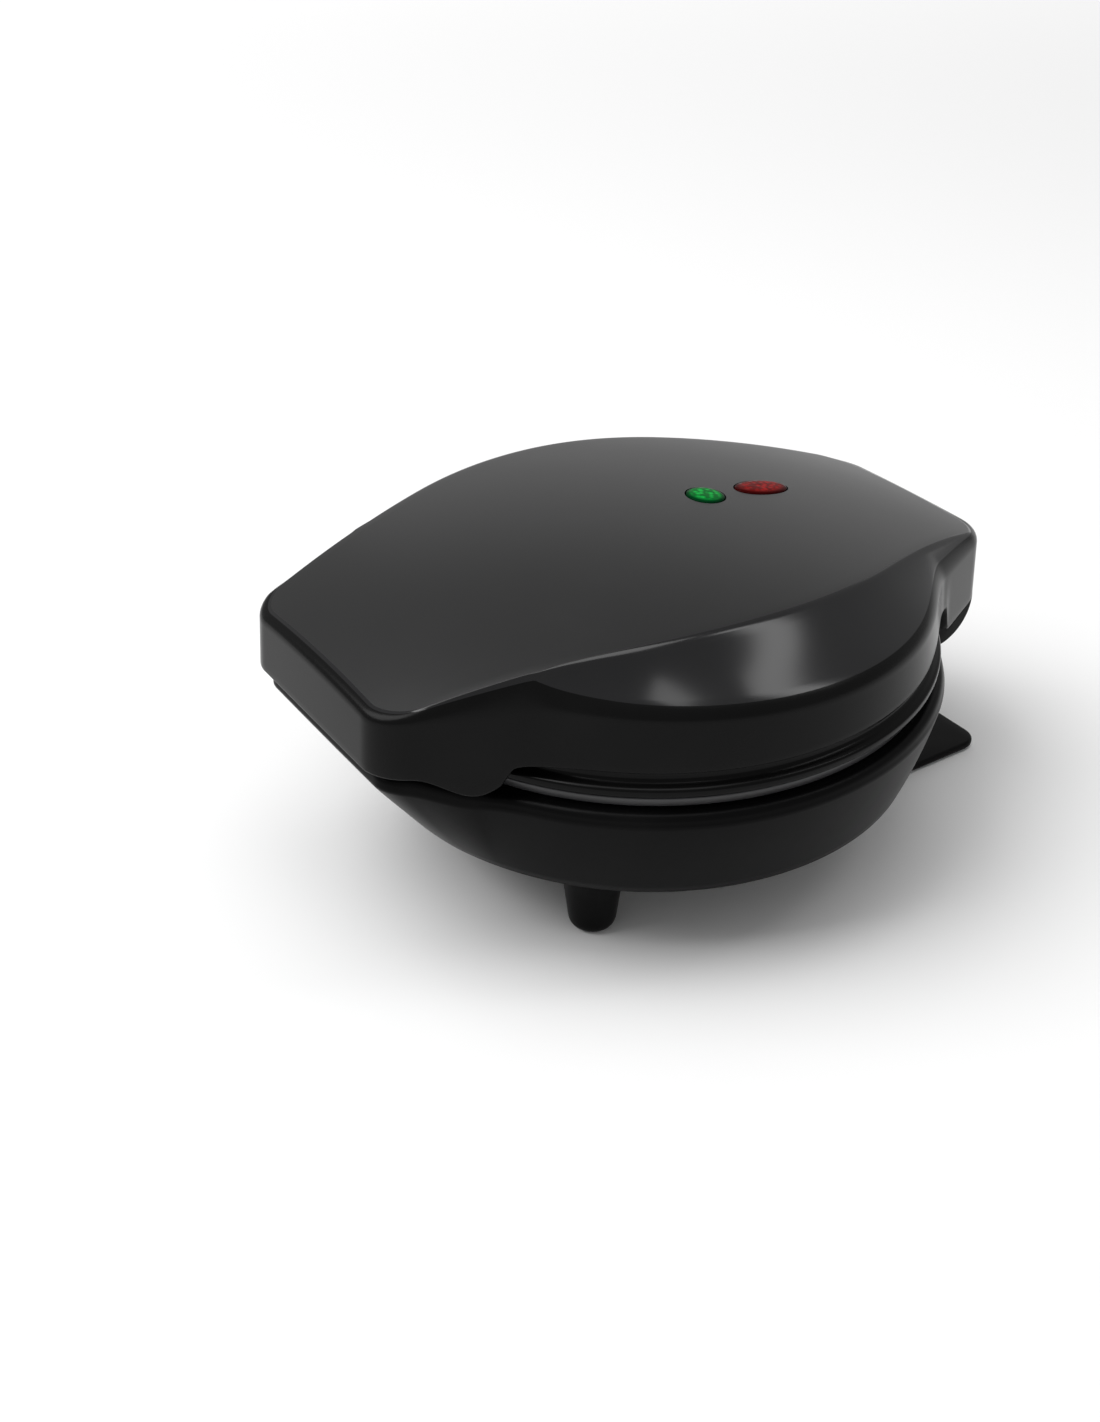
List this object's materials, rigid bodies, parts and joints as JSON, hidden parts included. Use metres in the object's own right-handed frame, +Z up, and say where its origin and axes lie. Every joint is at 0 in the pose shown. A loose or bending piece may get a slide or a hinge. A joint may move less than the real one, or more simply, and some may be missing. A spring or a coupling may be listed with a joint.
{
  "type": "donut maker",
  "caption": "Round countertop maker for small ring cakes: hinged domed lid with a flared handle over two ring-mould plates, indicator lights, front feet and a rear cord-wrap stand.",
  "frame": {"origin": "on the table, under the middle of the round body and midway between the handle's end and the rear stand's edge", "axes": "+Z up, -Y towards the handle, +Y towards the hinge, +X to the right for someone who faces the handle"},
  "size_m": [0.21, 0.2566, 0.1162],
  "materials": {
    "shell_gloss": "moulded black, glossy",
    "shell_satin": "moulded black, fine satin",
    "rubber": "matt black",
    "coated_plate": "cast, dark non-stick coating",
    "steel": "bright",
    "pressed_aluminium": "pressed sheet",
    "ceramic": "unglazed ceramic look",
    "green_lens": "clear green, polished",
    "red_lens": "clear red, polished",
    "lamp_glass": "clear",
    "sleeving": "braided glass fibre"
  },
  "bodies": {
    "base": {"base_housing": "shell_satin", "bottom_cover": "shell_satin", "rear_stand": "shell_satin", "lower_cooking_plate": "coated_plate", "lower_heating_element": "steel", "lower_heat_shield": "pressed_aluminium", "thermal_fuse": "sleeving", "terminal_block": "ceramic", "cord_gland": "rubber", "front_foot_left": "shell_satin", "foot_pad_left": "rubber", "foot_screw_left": "steel", "stand_pad_left": "rubber", "stand_screw_left": "steel", "hinge_pin_left": "steel", "base_wire_left": "sleeving", "front_foot_right": "shell_satin", "foot_pad_right": "rubber", "foot_screw_right": "steel", "stand_pad_right": "rubber", "stand_screw_right": "steel", "hinge_pin_right": "steel", "base_wire_right": "sleeving", "cover_screw_1": "steel", "cover_screw_2": "steel", "cover_screw_3": "steel", "cover_screw_4": "steel", "lower_plate_screw_1": "steel", "lower_plate_screw_2": "steel", "lower_plate_screw_3": "steel", "base_wire_sleeve": "sleeving"},
    "lid": {"lid_cover": "shell_gloss", "lid_rim": "shell_satin", "upper_cooking_plate": "coated_plate", "upper_heating_element": "steel", "upper_heat_shield": "pressed_aluminium", "thermostat": "ceramic", "green_lens": "green_lens", "red_lens": "red_lens", "green_lamp": "lamp_glass", "red_lamp": "lamp_glass", "lamp_holder": "shell_satin", "lamp_holder_screw": "steel", "lid_rim_screw_1": "steel", "lid_rim_screw_2": "steel", "lid_rim_screw_3": "steel", "upper_plate_screw_1": "steel", "upper_plate_screw_2": "steel", "upper_plate_screw_3": "steel", "lid_wire_sleeve": "sleeving", "lid_wire_feed": "sleeving", "lid_wire_link": "sleeving"}
  },
  "joints": [
    {"name": "lid_hinge", "type": "hinge", "parent": "base", "child": "lid", "pos_m": [0, 0.11, 0.06], "axis": [-1, 0, 0], "range_deg": [0, 100]}
  ]
}
